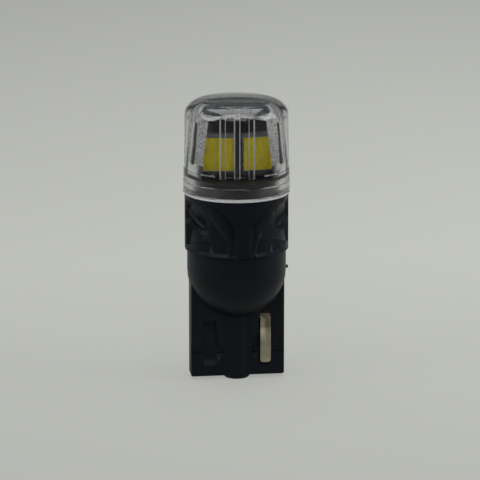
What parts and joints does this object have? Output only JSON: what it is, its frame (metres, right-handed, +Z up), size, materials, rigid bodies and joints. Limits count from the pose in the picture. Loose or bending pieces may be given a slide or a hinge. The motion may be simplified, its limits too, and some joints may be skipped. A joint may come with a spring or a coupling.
{
  "type": "wedge base led bulb",
  "caption": "Small wedge base LED bulb: clear ribbed lens cap over LEDs on an upright board, black sculpted housing, flat wedge with terminals.",
  "frame": {"origin": "on the bulb's axis, at the level of the stem's end, the lowest point", "axes": "+Z up along the bulb's axis towards the lens, X along the wedge's width, -Y out of the front face, which carries the right-hand terminal"},
  "size_m": [0.0104, 0.0104, 0.0281],
  "materials": {
    "housing_plastic": "black satin moulding",
    "clear_lens": "clear polycarbonate, frosted inside",
    "board": "black solder lacquer",
    "led_package": "white moulded package",
    "phosphor": "yellow phosphor gel",
    "terminal": "dull tinned strip",
    "solder": "bright solder",
    "chip_epoxy": "black epoxy",
    "resistor_body": "dark glazed chip",
    "capacitor_body": "brown ceramic chip"
  },
  "bodies": {
    "root": {"housing": "housing_plastic", "lens_cap": "clear_lens", "circuit_board": "board", "led_package_front_left": "led_package", "led_package_front_right": "led_package", "led_package_back_left": "led_package", "led_package_back_right": "led_package", "phosphor_front_left": "phosphor", "phosphor_front_right": "phosphor", "phosphor_back_left": "phosphor", "phosphor_back_right": "phosphor", "terminal_front": "terminal", "terminal_back": "terminal", "solder_joint_front": "solder", "solder_joint_back": "solder", "rectifier": "chip_epoxy", "driver_chip": "chip_epoxy", "diode": "chip_epoxy", "resistor_front_lower": "resistor_body", "resistor_front_upper": "resistor_body", "resistor_back": "resistor_body", "capacitor": "capacitor_body"}
  },
  "joints": []
}
